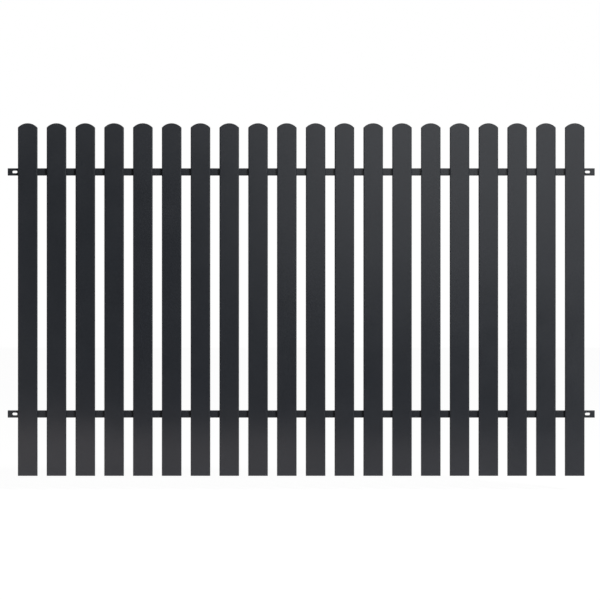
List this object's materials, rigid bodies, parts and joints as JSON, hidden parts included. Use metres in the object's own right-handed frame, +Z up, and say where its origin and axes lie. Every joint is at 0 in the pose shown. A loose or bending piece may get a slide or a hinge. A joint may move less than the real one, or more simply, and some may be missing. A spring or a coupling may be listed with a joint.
{
  "type": "metal picket fence panel",
  "caption": "Steel fence panel: a row of folded vertical pickets with rounded tops, welded to the front of two horizontal tube rails whose slotted ends bolt to posts.",
  "frame": {"origin": "on the back face of the lower rail, at the middle of its length and height", "axes": "+X along the panel, to the right as seen from the front; +Y from the pickets to the back of the rails; +Z up"},
  "size_m": [2, 0.027, 1.2],
  "materials": {
    "picket_paint": "satin anthracite powder coat",
    "rail_paint": "satin anthracite powder coat"
  },
  "bodies": {
    "root": {"lower_rail": "rail_paint", "upper_rail": "rail_paint", "picket_01": "picket_paint", "picket_02": "picket_paint", "picket_03": "picket_paint", "picket_04": "picket_paint", "picket_05": "picket_paint", "picket_06": "picket_paint", "picket_07": "picket_paint", "picket_08": "picket_paint", "picket_09": "picket_paint", "picket_10": "picket_paint", "picket_11": "picket_paint", "picket_12": "picket_paint", "picket_13": "picket_paint", "picket_14": "picket_paint", "picket_15": "picket_paint", "picket_16": "picket_paint", "picket_17": "picket_paint", "picket_18": "picket_paint", "picket_19": "picket_paint", "picket_20": "picket_paint"}
  },
  "joints": []
}
